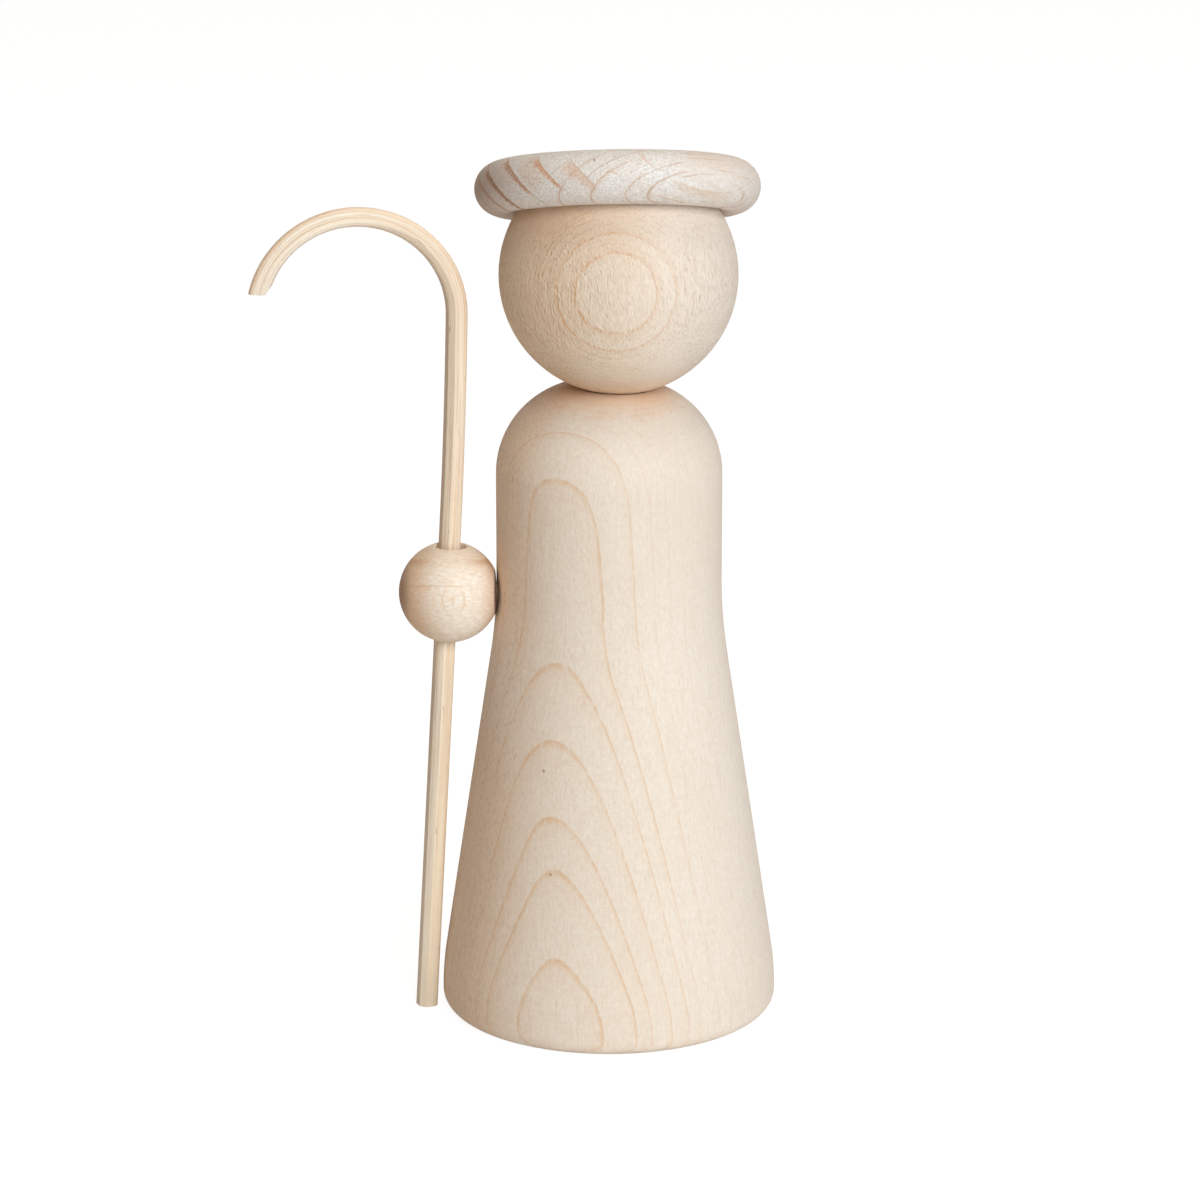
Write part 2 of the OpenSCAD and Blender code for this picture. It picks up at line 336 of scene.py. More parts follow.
def crook_points():
    """The rod's section carried along the rod. Each line of it starts at the level of the ground and ends at
    the level cut of the tip, whose inner edge is bevelled, and both ends are closed by shrinking rings. The
    flat at the near left corner fades out along the hook. The same points on an unbent rod come with them."""
    p, q = rod_section(ROD_FLAT_R)
    tip_p, tip_q = rod_section(ROD_CORNER_R)
    foot_slope = tan(ROD_LEAN)
    lean_p = cos(radians(HOOK_TURN))
    lean_q = sin(radians(HOOK_TURN))

    def ends(at_p, at_q):
        """Lengths along the rod at which the section's point meets the ground and the cut of the tip."""
        start = (at_p * lean_p - at_q * lean_q) * foot_slope
        cut = HOOK_TIP_Z + TIP_BEVEL_SLOPE * np.maximum(-at_p - TIP_BEVEL_START, 0)
        end = STRAIGHT_L + BOW_L + HOOK_R * (pi - np.arcsin(cut / (HOOK_R + at_p)))
        return start, end

    # Rows along the rod, with three close ones at each end, where the edges are slightly rounded
    rows = 330
    start = ends(p, q)[0]
    end = ends(tip_p, tip_q)[1]
    share = np.concatenate([[0, 0.0004, 0.001], np.linspace(0.004, 0.996, rows), [0.999, 0.9996, 1]])[:, None]
    side_s = start + (end - start) * share
    soften = np.array([0.965, 0.99, 1.0] + [1.0] * rows + [1.0, 0.99, 0.965])[:, None]
    blend = np.clip((side_s - ROD_FLAT_FULL_S) / (ROD_FLAT_GONE_S - ROD_FLAT_FULL_S), 0, 1)
    blend = blend * blend * (3 - 2 * blend)
    side_p, side_q = p + (tip_p - p) * blend, q + (tip_q - q) * blend
    side_p, side_q = side_p * soften, side_q * soften
    shrink = np.array([0.93, 0.7, 0.35])[:, None]
    foot_p, foot_q = p * shrink[::-1], q * shrink[::-1]
    tip_p, tip_q = tip_p * shrink, tip_q * shrink
    all_p = np.concatenate([foot_p, side_p, tip_p])
    all_q = np.concatenate([foot_q, side_q, tip_q])
    all_s = np.concatenate([ends(foot_p, foot_q)[0], side_s, ends(tip_p, tip_q)[1]])
    points = np.stack(rod_place(all_p, all_q, all_s), axis=-1)
    placed = points @ (turn_y(np.degrees(ROD_LEAN)) @ turn_z(HOOK_TURN)).T + [-ROD_FOOT_X, 0, 0]
    return placed @ turn_z(HAND_TURN).T, np.stack([all_p, all_q, all_s], axis=-1)


class Value:
    """What comes out of a node. On a number, Python's operators add the Math node of their name."""

    def __init__(self, finish, socket):
        self.finish = finish
        self.socket = socket

    def math(self, operation, other=None):
        """Adds a Math node whose first number is this one."""
        inputs = {0: self} if other is None else {0: self, 1: other}
        return self.finish.node("Math", {"operation": operation}, inputs)

    def from_right(self, operation, other):
        """Adds a Math node whose second number is this one."""
        return self.finish.node("Math", {"operation": operation}, {0: other, 1: self})

    def __add__(self, other):
        return self.math("ADD", other)

    def __radd__(self, other):
        return self.from_right("ADD", other)

    def __sub__(self, other):
        return self.math("SUBTRACT", other)

    def __rsub__(self, other):
        return self.from_right("SUBTRACT", other)

    def __mul__(self, other):
        return self.math("MULTIPLY", other)

    def __rmul__(self, other):
        return self.from_right("MULTIPLY", other)

    def __truediv__(self, other):
        return self.math("DIVIDE", other)

    def __rtruediv__(self, other):
        return self.from_right("DIVIDE", other)

    def __pow__(self, other):
        return self.math("POWER", other)

    def __rpow__(self, other):
        return self.from_right("POWER", other)

    def __abs__(self):
        return self.math("ABSOLUTE")


class Finish:
    """The nodes of one procedural material, or of the world. Lengths that it reads are in millimetres."""

    def __init__(self, name, world=False):
        self.owner = bpy.data.worlds.new(name) if world else bpy.data.materials.new(name)
        self.owner.use_nodes = True
        self.tree = self.owner.node_tree
        self.tree.nodes.clear()

    def node(self, kind, settings=None, inputs=None, output=0):
        """Adds a node of a type, sets its settings first, then gives its sockets their values or links."""
        node = self.tree.nodes.new("ShaderNode" + kind)
        for setting, value in (settings or {}).items():
            setattr(node, setting, value)
        for socket, value in (inputs or {}).items():
            if isinstance(value, Value):
                self.tree.links.new(value.socket, node.inputs[socket])
            else:
                node.inputs[socket].default_value = value
        return Value(self, node.outputs[output]) if len(node.outputs) else node

    def place(self):
        """The point on the surface, in millimetres."""
        place = self.node("TexCoord", output="Object")
        return self.scaled(place, (1 / MM, 1 / MM, 1 / MM))

    def scaled(self, vector, factors):
        """The vector with each of its numbers multiplied by a factor of its own."""
        return self.node("VectorMath", {"operation": "MULTIPLY"}, {0: vector, 1: factors})

    def parts(self, vector):
        """The vector's three numbers."""
        node = self.node("SeparateXYZ", inputs={0: vector}).socket.node
        return [Value(self, socket) for socket in node.outputs]

    def along(self, vector, direction):
        """How far the point lies along a direction."""
        return self.node("VectorMath", {"operation": "DOT_PRODUCT"}, {0: vector, 1: direction}, "Value")

    def moved(self, vector, shift):
        """The vector with a shift added."""
        return self.node("VectorMath", {"operation": "ADD"}, {0: vector, 1: shift})

    def noise(self, vector, scale, detail=2.0, roughness=0.5):
        """Soft noise about 0, mostly within -0.5 and 0.5. Each axis has its own scale, per millimetre."""
        settings = {"noise_dimensions": "3D", "normalize": True}
        vector = self.scaled(vector, scale)
        inputs = {"Vector": vector, "Scale": 1.0, "Detail": detail, "Roughness": roughness}
        return self.node("TexNoise", settings, inputs) - 0.5

    def distance(self, a, b):
        """The length of a line whose two parts, at a right angle to each other, are given."""
        return (a * a + b * b).math("SQRT")

    def rise(self, value, start, end):
        """0 up to start, 1 from end, and smooth in between."""
        inputs = {"Value": value, "From Min": start, "From Max": end}
        return self.node("MapRange", {"interpolation_type": "SMOOTHSTEP"}, inputs)

    def between(self, value, start, end, soft=0.4):
        """1 from start to end and 0 outside, with soft ends."""
        return self.rise(value, start - soft, start + soft) * self.rise(value, end + soft, end - soft)

    def layer_line(self, depth, place, before, after):
        """A growth line at one depth, which fades over one distance before it and another after it."""
        return self.rise(depth, place - before, place) * self.rise(depth, place + after, place)

    def layer_lines(self, depth, places, before, after):
        """Growth lines at several depths."""
        return sum(self.layer_line(depth, place, before, after) for place in places)

    def even_lines(self, depth, spacing, before, after):
        """Growth lines a spacing apart."""
        phase = (depth / spacing).math("FRACT") * spacing
        tail = self.rise(phase, after, 0.0)
        return self.rise(phase, spacing - before, spacing).math("MAXIMUM", tail)

    def mix(self, share, first, second):
        """Goes from the first colour to the second."""
        return self.node("Mix", {"data_type": "RGBA"}, {0: share, 6: first, 7: second}, output=2)

    def surface(self, colour, height, roughness, depth):
        """Ends the material: a matte wood of that colour, whose height is in shares of the depth given."""
        bump = self.node("Bump", inputs={"Height": height, "Distance": depth * MM, "Strength": 1.0})
        look = {"Base Color": colour, "Roughness": roughness, "Normal": bump,
                "Specular IOR Level": WOOD_SPECULAR}
        wood = self.node("BsdfPrincipled", inputs=look)
        self.node("OutputMaterial", inputs={"Surface": wood})
        return self.owner


def srgb(red, green, blue):
    """A colour from its 0 to 255 screen values."""
    share = np.array([red, green, blue]) / 255
    linear = np.where(share <= 0.04045, share / 12.92, ((share + 0.055) / 1.055) ** 2.4)
    return (*(float(c) for c in linear), 1.0)


def maple_body():
    """Pale maple with growth rings about a pith 90 mm behind the doll, which the flared front cuts in
    arches, short upright fibres, faint turning marks across it, two pin knots, painted warm shade and
    painted darker grain on the left side, and end grain that is darker on top of the shoulders."""
    m = Finish("maple_body")
    place = m.place()
    x, y, z = m.parts(place)

    # Depth of the layers, the distance from a pith that bends. They are pushed aside a little along the
    # straight upper part and low on the left, so that the arches run as unevenly as real ones.
    height = z / 100
    pith_x = 32.8 + height * 23.8 - height * height * 12.7
    pith_y = 88.9 - height * 5.4
    from_x, from_y = x - pith_x, y - pith_y
    wander = m.noise(place, (0.07, 0.07, 0.03)) * 0.1 + m.noise(place, (0.8, 0.8, 0.4), 3.0) * 0.08
    depth = m.distance(from_x, from_y) + wander + m.rise(z, 84.0, 93.0)
    upper = m.rise(z, 53.0, 69.0) * m.rise(z, 89.0, 77.0)
    lower = m.rise(z, 45.0, 20.0)
    depth = depth + (m.rise(x, -7.5, -3.0) * 0.5 - m.rise(x, -1.0, 3.0) * 0.36) * upper
    depth = depth + m.rise(x, -8.0, -11.0) * upper * 0.2
    depth = depth - (m.rise(x, -7.0, -13.0) * 0.4 + m.rise(x, -10.0, -16.0) * 0.35) * lower

    # Growth lines: each arch as a fine line with a wide glow, and even ones from there to the back
    arches = [109.0, 111.5, 112.92, 114.6, 116.21, 117.24, 118.9]
    core = m.layer_lines(depth, arches, 0.05, 0.17)
    glow = m.layer_lines(depth, arches, 0.06, 0.9)
    deeper = m.rise(depth, arches[0] - 0.7, arches[0] - 1.4)
    behind = m.even_lines(depth - arches[0], 1.9, 0.07, 0.3) * deeper
    faded = m.rise(m.noise(place, (0.13, 0.13, 0.06)), -0.3, 0.15) * 0.5 + 0.5
    broken = m.rise(m.noise(place, (1.4, 1.4, 0.6), 2.0), -0.2, 0.1) * 0.6 + 0.4
    fewer = m.rise(x, 3.0, 17.0) * 0.4
    lines = (core * 0.6 + glow * 0.17 + behind * 0.24) * faded * broken * (1 - fewer)

    # Fibres, mottle and turning marks, the end grain on top, and painted warm shade on the left side
    grain = m.noise(place, (2.3, 2.3, 1.25), 3.0, 0.65)
    fibres = m.noise(place, (2.4, 2.4, 0.14), 3.0, 0.6)
    mottle = m.noise(place, (0.12, 0.12, 0.06), 3.0)
    patches = m.noise(place, (0.6, 0.6, 0.35), 3.0, 0.6)
    turning = m.noise(place, (0.06, 0.06, 3.4), 2.0, 0.7)
    end_grain = m.rise(z + patches * 3.0 + turning * 2.5, 92.6, 95.8)
    painted_left_shade = m.rise(x / m.distance(x, y), -0.5, -0.88)

    colour = m.mix(m.rise(grain, -0.22, 0.22), srgb(244, 231, 217), srgb(236, 220, 203))
    colour = m.mix(m.rise(mottle, -0.15, 0.3) * 0.25, colour, srgb(236, 216, 197))
    colour = m.mix(m.rise(patches, -0.02, 0.3) * 0.14, colour, srgb(226, 200, 176))
    colour = m.mix(m.rise(turning, 0.06, 0.3) * 0.16, colour, srgb(214, 186, 158))
    colour = m.mix(lines * 0.9, colour, srgb(226, 182, 132))
    colour = m.mix(end_grain * 0.46, colour, srgb(222, 176, 130))
    colour = m.mix(end_grain * m.between(x, 4.0, 8.5, 2.0) * 0.4, colour, srgb(224, 168, 116))
    # Painted warm shade on the left side, where the fibres and grain are also painted darker
    left_shade_share = painted_left_shade * (0.32 - m.between(z, 44.0, 60.0, 8.0) * 0.24)
    colour = m.mix(left_shade_share, colour, srgb(240, 197, 154))
    colour = m.mix(m.rise(fibres, 0.0, 0.26) * (painted_left_shade * 0.1 + 0.26), colour, srgb(219, 192, 166))
    colour = m.mix(m.rise(grain, 0.0, 0.26) * painted_left_shade * 0.6, colour, srgb(208, 174, 142))
    colour = m.mix(m.rise(z, 55.0, 80.0) * m.rise(x, -3.0, 8.0) * 0.25, colour, srgb(226, 207, 188))

    # Two pin knots on the front, kept off the back by a distance that grows with y
    knot_places = ((-9.6, 41.9), (-8.6, 26.9))
    behind_y = m.rise(y, -8.0, 4.0) * 9.0
    knots = sum(m.rise(m.distance(x - at_x, z - at_z) + behind_y, 0.3, 0.1) for at_x, at_z in knot_places)
    colour = m.mix(knots * 0.6, colour, srgb(128, 100, 76))

    relief = grain * 0.9 + fibres * 0.3 + turning * 0.4
    return m.surface(colour, relief, roughness=0.6, depth=0.09)


def beech_head():
    """Warm beech whose growth layers stand across the front, so that they show there as dotted rings, with
    short fibres that lean a little, light and dark, all over. Painted warm shade makes it warmer on the
    left and painted light makes it paler on the right."""
    m = Finish("beech_head")
    place = m.moved(m.place(), (-HEAD_X, 0, -HEAD_Z))
    x, y, z = m.parts(place)
    wood = m.node("CombineXYZ", inputs={0: x + z * 0.19, 1: y, 2: z})

    # Growth lines: rings on the front, placed one by one, a glow inside two of them, and even lines behind
    wander = m.noise(place, (0.1, 0.1, 0.07)) * 0.2 + m.noise(place, (0.8, 0.8, 0.4), 3.0) * 0.28
    depth = m.along(place, (-0.026, -0.9986, 0.045)) + wander
    front = m.layer_lines(depth, [12.9, 13.4, 13.85, 14.55, 15.3, 16.5], 0.2, 0.07)
    inner = m.layer_lines(depth, [16.5, 15.3], 0.7, 0.07)
    behind = m.even_lines(depth - 12.3, 0.7, 0.3, 0.1) * m.rise(depth, 12.5, 12.1)
    grain = m.noise(wood, (4.3, 4.3, 1.15), 2.0, 0.6)
    dots = m.rise(grain, -0.12, 0.1)
    faded = m.rise(m.noise(place, (0.2, 0.2, 0.2), 3.0), -0.22, 0.12) * 0.7 + 0.3
    left = m.rise(x, 9.0, -6.0)
    front = front * (left * 0.95 + 0.3) + m.layer_line(depth, 15.95, 0.16, 0.07) * left * 0.6
    behind = behind * (left * 0.42 + m.rise(z, -6.0, -11.0) * 0.3 + 0.08)
    lines = (front + behind) * faded * (dots * 0.85 + 0.15)

    # Flecks of the grain, painted stronger towards both sides, where the light grazes the ball
    flecks = m.rise(m.noise(wood, (4.0, 4.0, 0.6), 2.0, 0.6), 0.02, 0.18)
    fleck_share = flecks * (m.rise(x, -2.0, -11.0) * 0.55 + m.rise(x, 3.0, 11.0) * 0.36 + 0.1)
    mottle = m.noise(place, (0.14, 0.14, 0.1), 2.0)
    warm = m.rise(z, 4.0, 10.0) * m.rise(x, 7.0, -5.0) * 0.8 + m.rise(z, -11.0, -16.0)

    colour = m.mix(m.rise(grain, -0.24, 0.26), srgb(242, 226, 208), srgb(227, 204, 180))
    colour = m.mix(m.rise(mottle, -0.1, 0.3) * 0.3, colour, srgb(230, 203, 177))
    colour = m.mix(fleck_share, colour, srgb(206, 163, 124))
    # Painted warm shade on the left and painted light on the right, then a warmer tint at the top left and at
    # the bottom
    colour = m.mix(m.rise(x, -2.0, -12.0) * 0.5, colour, srgb(255, 224, 191))
    colour = m.mix(m.rise(x, -1.0, 9.0) * 0.5, colour, srgb(245, 231, 219))
    colour = m.mix(warm * 0.25, colour, srgb(236, 184, 138))
    colour = m.mix(inner * 0.16 + lines * 0.56, colour, srgb(219, 162, 106))
    coarser = m.rise(x, -1.0, -11.0) * 0.6 + m.rise(x, 3.0, 12.0) * 0.35 + 0.52
    return m.surface(colour, (grain - flecks * 0.35) * coarser, roughness=0.6, depth=0.21)


def pale_hat():
    """Greyish white wood. The ring is cut slantwise from a board, so the growth layers and the rays cross
    its front at a right angle to each other: brown and pink wedges that end at the layers on the left,
    thin curved ray lines in the middle, and cream wood with a tan loop and dashes on the right."""
    m = Finish("pale_hat")
    place = m.moved(m.place(), (-HEAD_X, 0, -HEAD_Z))
    turn = (radians(HAT_TILT), radians(HAT_ROLL), 0.0)
    place = m.node("Mapping", {"vector_type": "POINT"}, {"Vector": place, "Rotation": turn})
    place = m.moved(place, (0, 0, -HAT_RISE))
    x, y, z = m.parts(place)

    # Depths across the growth layers, along the rays and along the fibres
    layer = m.along(place, (0.64, -0.329, 0.694))
    ray = m.along(place, (0.474, -0.56, -0.68))
    fibre = m.along(place, (0.612, 0.764, -0.202))
    wood = m.node("CombineXYZ", inputs={0: layer, 1: ray, 2: fibre})
    wander = m.noise(wood, (0.12, 0.12, 0.08)) * 0.3 + m.noise(wood, (0.9, 0.9, 0.25), 3.0) * 0.26
    layer, ray = layer + wander, ray + wander * 0.8
    streaks = m.noise(wood, (1.5, 1.5, 0.12), 3.0, 0.6)
    pores = m.noise(wood, (4.0, 4.0, 0.9), 3.0, 0.7)
    dots = m.rise(pores, -0.12, 0.14)
    front = m.rise(y, 2.0, -4.0)

    # Darker wood before a growth layer, from one depth along the rays to another, towards which it narrows
    ragged = layer + pores * 0.6
    wedges = [m.rise((ragged - edge) / (m.rise(ray, end, start) * 0.5 + 0.5), -width, -width * 0.35)
              * m.rise(layer, edge + 0.12, edge) * m.between(ray, start, end, 0.7) * strength
              for edge, start, end, width, strength in (
                  (-13.9, -14.0, 3.0, 1.2, 0.35), (-12.1, -14.0, -2.6, 1.0, 0.4),
                  (-10.2, -7.4, 0.0, 1.3, 0.75), (-7.82, -6.0, 3.4, 1.5, 1.0), (-4.05, -3.2, 4.6, 1.45, 0.95),
                  (0.0, 1.7, 7.9, 1.3, 0.95), (3.6, 6.2, 11.0, 2.9, 0.62), (6.86, 10.2, 12.2, 0.9, 0.3),
                  (10.65, 10.2, 12.9, 0.6, 0.5))]
    wedges = sum(wedges) * front
    deep = wedges ** 3.0

    # The growth layers themselves, as thin brown lines on the front and wider ones behind
    edges = [m.layer_line(layer, edge, 0.16, 0.1) * m.between(ray, start, end) * strength
             for edge, start, end, strength in (
                 (-15.3, -14.0, 3.0, 0.6), (-13.9, -14.0, 3.0, 0.6), (-12.1, -14.0, 0.0, 0.7),
                 (-10.25, -14.0, 1.0, 0.8), (-7.85, -9.0, 4.2, 0.8), (-4.08, -4.0, 6.3, 0.75),
                 (0.02, 1.5, 9.6, 0.3), (3.6, 6.2, 11.0, 0.4))]
    edges = sum(edges) * front
    behind = m.even_lines(layer, 3.3, 1.1, 0.15) * (1 - front)

    # Thin ray lines, each between two growth layers
    rays = [m.layer_line(ray, depth, 0.1, 0.17) * m.between(layer, start, end) * strength
            for depth, start, end, strength in (
                (1.2, -2.4, 0.0, 0.5), (5.75, -0.1, 5.2, 0.55), (7.88, -2.4, 6.6, 0.8),
                (9.62, 3.8, 10.9, 0.8), (10.88, 1.0, 9.0, 0.95), (12.35, 7.8, 10.4, 0.3),
                (13.38, 3.6, 13.2, 0.75), (14.66, 5.8, 12.6, 0.85), (15.12, 11.8, 13.8, 0.75))]
    rays = sum(rays) * (m.rise(m.noise(wood, (0.5, 0.5, 0.5), 2.0), -0.3, 0.1) * 0.6 + 0.4)
    glow = m.layer_lines(ray, [7.88, 10.88, 13.38, 14.66], 0.5, 0.7) * m.rise(layer, 10.5, 7.0)

    # On the right the surface touches a layer, which shows as a tan loop with a pale tongue inside it, a
    # small curl at its end, and dashes above and below it
    right_front = m.rise(y, -3.0, -5.0)
    off = x - 15.0
    curve = off * off * (m.rise(off, 0.0, 1.5) * 0.09 + 0.029) - 2.2
    above = z - curve + wander
    band = m.rise(above, -1.5, -0.5) * m.rise(above, 0.14, -0.04) * m.rise(x, 17.0, 13.0)
    line = m.layer_line(above, 0.0, 0.2, 0.14) * m.rise(x, 12.0, 16.0)
    loop = (band * 0.6 + line * 0.5) * m.rise(x, 7.2, 9.6) * m.rise(z, 2.6, 0.8)
    curl = m.layer_line(m.distance(x - 16.6, z + 2.2) + wander * 1.6, 1.2, 0.08, 0.12)
    curl = curl * m.rise(x, 15.9, 17.0)
    dashes = [m.layer_line(z - (x - start) * slope + wander * 0.7, level, 0.1, 0.1) * m.between(x, start, end)
              for level, slope, start, end in (
                  (2.42, 0.02, 10.2, 15.2), (3.15, 0.03, 9.8, 13.2), (0.98, -0.09, 14.4, 16.6),
                  (0.4, -0.09, 16.8, 19.0), (-2.95, -0.2, 5.6, 9.5))]
    tan_marks = (loop * 0.6 + curl * 0.4 + sum(dashes) * 0.85) * right_front
    tongue = m.rise(z - curve, 0.1, 0.5) * m.rise(z, 1.4, 0.2) * m.rise(x, 7.0, 10.0) * right_front

    # A dark speck, two dotted fields in the middle, and soft changes of tone
    speck = m.rise(m.distance(x + 3.3, z - 2.1), 0.24, 0.08) * m.rise(y, -14.0, -16.0)
    dotted = m.between(layer, -3.4, -0.7) * m.between(ray, 0.2, 5.2, 1.2)
    dotted = dotted + m.between(layer, -6.1, -4.6) * m.between(ray, -4.0, 1.2, 1.2) * 0.6
    mottle = m.noise(place, (0.2, 0.2, 0.2), 2.0)
    right = m.rise(x, 4.0, 15.0)

    colour = m.mix(m.rise(pores, -0.2, 0.22), srgb(247, 243, 239), srgb(211, 201, 192))
    colour = m.mix(m.rise(mottle, -0.1, 0.3) * 0.3, colour, srgb(224, 208, 196))
    colour = m.mix(right * 0.36, colour, srgb(232, 211, 194))
    colour = m.mix(m.rise(streaks, 0.0, 0.3) * (0.34 + right * 0.12), colour, srgb(216, 193, 172))
    # Painted shade, darker towards the far left of the ring
    colour = m.mix(m.rise(x, -14.0, -20.5) * 0.52, colour, srgb(166, 130, 104))
    colour = m.mix(m.rise(x, 6.0, 13.0) * m.rise(z, -1.0, 2.0) * 0.42, colour, srgb(224, 202, 187))
    colour = m.mix(dotted * (dots * 0.35 + 0.1), colour, srgb(210, 166, 134))
    colour = m.mix(wedges * (dots * 0.3 + 0.42), colour, srgb(214, 160, 122))
    deep_colour = m.mix(m.rise(x, -17.0, -11.0), srgb(132, 92, 66), srgb(210, 142, 90))
    colour = m.mix(deep * (dots * 0.3 + 0.4), colour, deep_colour)
    colour = m.mix(edges * 0.6, colour, srgb(164, 116, 86))
    colour = m.mix(rays * 0.8, colour, srgb(190, 142, 102))
    colour = m.mix(glow * 0.14, colour, srgb(214, 172, 132))
    colour = m.mix(tongue * 0.14, colour, srgb(240, 230, 221))
    colour = m.mix(tan_marks + behind * 0.3, colour, srgb(214, 174, 132))
    colour = m.mix(speck * 0.7, colour, srgb(96, 74, 60))
    relief = pores + streaks * 0.5 - rays * 0.3 - edges * 0.2
    return m.surface(colour, relief, roughness=0.62, depth=0.09)


def beech_bead():
    """Pale beech with its fibres from side to side, fine wavy level lines, painted shade at both sides, most
    of all at the left and low on the left, a painted dark shade line along the flat against the body, and a
    small eye on the front, where the surface just touches a growth layer: soft arcs round an upright dash."""
    m = Finish("beech_bead")
    centre = turn_z(HAND_TURN) @ np.array([-BEAD_X, 0, BEAD_Z])
    place = m.moved(m.place(), tuple(-centre))
    x = m.along(place, (1.0, 0.0, 0.0))
    level = m.along(place, (0.0, 0.276, 0.961))
    depth = m.along(place, (0.0, -0.961, 0.276))
    wood = m.node("CombineXYZ", inputs={0: x, 1: depth, 2: level})
    wander = m.noise(wood, (0.25, 0.25, 0.25)) * 0.3 + m.noise(wood, (1.0, 1.0, 1.6), 2.0) * 0.28
    waves = m.noise(wood, (1.2, 1.4, 3.8), 3.0, 0.65)

    # The eye, fainter above and below its middle
    from_x, from_level = x - 0.75, (level + 1.3) * 0.8
    ring = m.distance(from_x, from_level) + wander * 0.9
    eye = m.layer_line(ring, 1.65, 0.35, 0.3) + m.layer_line(ring, 2.9, 0.4, 0.3) * 0.5
    eye = eye + m.rise(abs(from_x + wander * 0.8), 0.34, 0.08) * m.rise(abs(from_level), 0.9, 0.2)
    eye = eye * (m.rise(abs(level + 1.3), 2.4, 0.5) * 0.75 + 0.25)
    eye = eye * m.rise(depth, 2.0, 4.0) * (m.rise(waves, 0.12, -0.12) * 0.7 + 0.3)

    # Fine hairs, tints and two level lines
    hairs = m.noise(wood, (1.2, 1.6, 5.0), 2.0, 0.65)
    tint = m.noise(wood, (0.3, 0.4, 0.9), 2.0)
    sides = m.rise(abs(x), 1.6, 5.6)
    band = m.layer_line(level + wander * 1.2, 4.5, 1.1, 0.5) * (sides * 0.85 + 0.1)
    line = m.layer_line(level + wander * 0.6, 0.8, 0.2, 0.12) * m.rise(x, 5.0, 0.0)

    colour = m.mix(m.rise(waves, -0.2, 0.22), srgb(251, 241, 229), srgb(240, 220, 198))
    colour = m.mix(m.rise(level, 1.5, 6.0) * 0.3, colour, srgb(230, 196, 160))
    colour = m.mix(m.rise(tint, 0.0, 0.26) * 0.28, colour, srgb(236, 200, 156))
    colour = m.mix(m.rise(hairs, 0.02, 0.24) * 0.36, colour, srgb(206, 166, 126))
    # Painted shade: warmer and darker towards the left edge, darker at the right rim and low on the left
    colour = m.mix(m.rise(x, -1.5, -5.5) * 0.52, colour, srgb(232, 182, 132))
    colour = m.mix(m.rise(x, 4.0, 6.6) * 0.35, colour, srgb(222, 180, 144))
    colour = m.mix(m.rise(x, -5.2, -7.2) * 0.8, colour, srgb(164, 122, 92))
    colour = m.mix(m.rise(level, -2.5, -5.5) * m.rise(x, 1.0, -3.0) * 0.3, colour, srgb(222, 178, 136))
    colour = m.mix(band * 0.6, colour, srgb(208, 152, 106))
    colour = m.mix(line * 0.5, colour, srgb(210, 160, 112))
    colour = m.mix(eye * 0.62, colour, srgb(228, 186, 134))
    # Painted shade: a dark line along the flat, in the gap against the body
    colour = m.mix(m.rise(x, 6.6, 6.8) * 0.9, colour, srgb(96, 66, 46))
    return m.surface(colour, hairs * 0.6 + waves * 0.5, roughness=0.5, depth=0.08)


def cane_crook():
    """Cream cane whose strands, thin lines and few broken pores run along the rod and round its bends. Its
    place is read from the unbent rod: outwards from the hook's centre, and along from the foot."""
    m = Finish("cane_crook")
    rod = m.node("Attribute", {"attribute_name": "unbent"}, output="Vector")
    outwards, _, along = m.parts(rod)
    strands = m.noise(rod, (1.5, 1.5, 0.012), 3.0, 0.65)
    lines = m.noise(rod, (3.6, 3.6, 0.03), 3.0, 0.65)
    pores = m.noise(rod, (3.6, 3.6, 0.16), 3.0, 0.65)
    rare = m.rise(m.noise(rod, (2.6, 2.6, 0.3), 2.0), 0.19, 0.27)
    upper = m.rise(along, 60.0, 105.0) * m.rise(along, 134.0, 118.0)
    hook = m.rise(along, 120.0, 135.0)
    line_share = m.rise(lines, 0.02, 0.13) * (m.rise(along, 5.0, 50.0) * 0.16 + 0.18)
    # The outer edges are the cane's own tan; the thin dark line at the inner edge is painted shade
    edges = m.rise(outwards, 0.8, 1.35) * (hook * 0.3 + 0.12) + m.rise(outwards, -1.3, -1.5) * 0.5

    colour = m.mix(m.rise(strands, -0.15, 0.2), srgb(255, 243, 223), srgb(242, 213, 179))
    colour = m.mix(upper * 0.3, colour, srgb(232, 208, 184))
    # Painted light: the lower part of the rod, which the body shades, is lighter
    colour = m.mix(m.rise(along, 50.0, 5.0) * 0.75, colour, srgb(255, 242, 219))
    colour = m.mix(hook * 0.35, colour, srgb(255, 243, 230))
    # Painted light: the inner face, turned away from the light, is lighter
    colour = m.mix(m.rise(outwards, -0.5, -1.0) * 0.4, colour, srgb(255, 245, 230))
    colour = m.mix(edges, colour, srgb(230, 188, 152))
    colour = m.mix(line_share, colour, srgb(216, 176, 138))
    colour = m.mix(m.rise(pores, 0.06, 0.26) * 0.28, colour, srgb(206, 170, 134))
    colour = m.mix(rare * 0.5, colour, srgb(150, 118, 90))
    relief = pores * -0.9 + m.rise(lines, 0.16, 0.03) * 0.6 + strands * 0.3
    return m.surface(colour, relief, roughness=0.55, depth=0.055)


def beech_dowel():
    """Plain beech for the two hidden dowels, with fine streaks."""
    m = Finish("beech_dowel")
    place = m.place()
    streaks = m.noise(place, (2.0, 2.0, 0.3), 3.0, 0.6)
    colour = m.mix(streaks + 0.5, srgb(222, 192, 156), srgb(200, 166, 128))
    return m.surface(colour, streaks, roughness=0.6, depth=0.04)


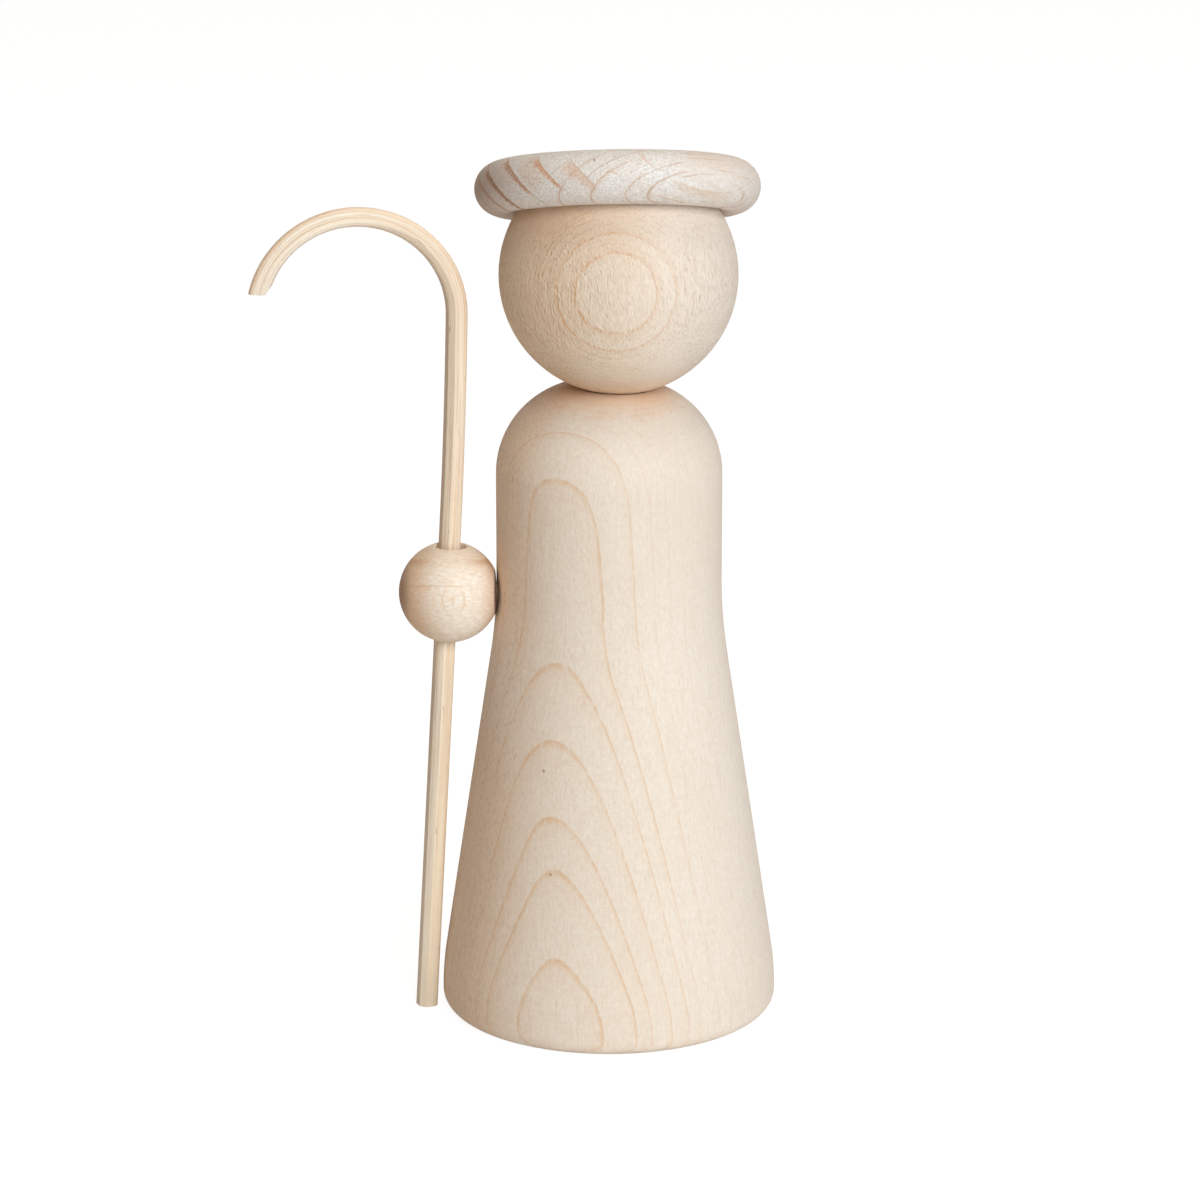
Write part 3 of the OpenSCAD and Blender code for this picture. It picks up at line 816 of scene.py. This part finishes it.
make_piece("turned_body", body_points(), "body", maple_body(), "body")
make_piece("ball_head", head_points(), "head", beech_head(), "head")
make_piece("hat", hat_points(), "head", pale_hat(), "hat_ring", closed_rows=True)
make_piece("hand", bead_points(), "body", beech_bead(), "hand_bead", closed_rows=True)
rod_points, rod_rest = crook_points()
make_piece("bent_crook", rod_points, "crook", cane_crook(), "crook", rest=rod_rest)

dowel_finish = beech_dowel()
for dowel in ("neck_dowel", "hand_dowel"):
    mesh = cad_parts[dowel].data
    mesh.materials.clear()
    mesh.materials.append(dowel_finish)


# Floor, light and camera, in metres
FLOOR_SIZE = 8.0
FLOOR_WHITE_SHARE = 0.74
FLOOR_WHITE_STRENGTH = 1.25
WHITE = (1.0, 1.0, 1.0, 1.0)
LAMP_DISTANCE = 1.4
LAMP_SIDE = 0.7
LAMP_AIM_Z = 0.06
CAMERA_PLACE = (-0.00135, -0.7012, 0.2641)
CAMERA_TILT = 74.0
CAMERA_LENS = 147.3


def paper_floor():
    """White paper that takes the doll's shadow. The camera sees it lifted part of the way to white."""
    m = Finish("paper_floor")
    paper = m.node("BsdfDiffuse", inputs={"Color": srgb(244, 242, 240)})
    white = m.node("Emission", inputs={"Color": WHITE, "Strength": FLOOR_WHITE_STRENGTH})
    seen = m.node("LightPath", output="Is Camera Ray") * FLOOR_WHITE_SHARE
    both = m.node("MixShader", inputs={0: seen, 1: paper, 2: white})
    m.node("OutputMaterial", inputs={"Surface": both})
    return m.owner


def soft_world(fill_colour, strength):
    """Warm soft light from all round, which the camera and reflections see as white."""
    m = Finish("studio", world=True)
    by_camera = m.node("LightPath", output="Is Camera Ray")
    by_reflection = m.node("LightPath", output="Is Glossy Ray")
    seen = by_camera.math("MAXIMUM", by_reflection)
    fill = m.node("Background", inputs={"Color": (*fill_colour, 1.0), "Strength": strength})
    white = m.node("Background", inputs={"Color": WHITE, "Strength": 1.0})
    both = m.node("MixShader", inputs={0: seen, 1: fill, 2: white})
    m.node("OutputWorld", inputs={"Surface": both})
    bpy.context.scene.world = m.owner


def soft_box(name, azimuth, elevation, watts, colour):
    """A square lamp that faces the doll. Azimuth 0 is in front, and positive is to the viewer's right."""
    lamp = bpy.data.lights.new(name, "AREA")
    lamp.shape = "SQUARE"
    lamp.size = LAMP_SIDE
    lamp.energy = watts
    lamp.color = colour
    a, e = radians(azimuth), radians(elevation)
    towards = np.array([sin(a) * cos(e), -cos(a) * cos(e), sin(e)])
    holder = bpy.data.objects.new(name, lamp)
    holder.location = towards * LAMP_DISTANCE + [0, 0, LAMP_AIM_Z]
    holder.rotation_euler = (pi / 2 - e, 0, a)
    bpy.context.scene.collection.objects.link(holder)


half = FLOOR_SIZE / 2
floor_mesh = bpy.data.meshes.new("floor")
floor_corners = [(-half, -half, 0), (half, -half, 0), (half, half, 0), (-half, half, 0)]
floor_mesh.from_pydata(floor_corners, [], [(0, 1, 2, 3)])
floor_mesh.materials.append(paper_floor())
floor = bpy.data.objects.new("floor", floor_mesh)
bpy.context.scene.collection.objects.link(floor)

soft_world(fill_colour=(1.0, 0.74, 0.56), strength=0.135)
soft_box("key", azimuth=25, elevation=30, watts=12.3, colour=(0.985, 1.0, 0.99))
soft_box("side", azimuth=50, elevation=8, watts=3.6, colour=(0.6, 1.0, 1.35))
soft_box("top", azimuth=0, elevation=89, watts=5.6, colour=(1.0, 0.97, 0.86))

camera = bpy.data.cameras.new("camera")
camera.sensor_width = 36.0
camera.lens = CAMERA_LENS
camera.clip_start = 0.05
camera_holder = bpy.data.objects.new("camera", camera)
camera_holder.location = CAMERA_PLACE
camera_holder.rotation_euler = (radians(CAMERA_TILT), 0, 0)
bpy.context.scene.collection.objects.link(camera_holder)
bpy.context.scene.camera = camera_holder
bpy.context.scene.view_settings.view_transform = "Standard"

bpy.context.view_layer.update()
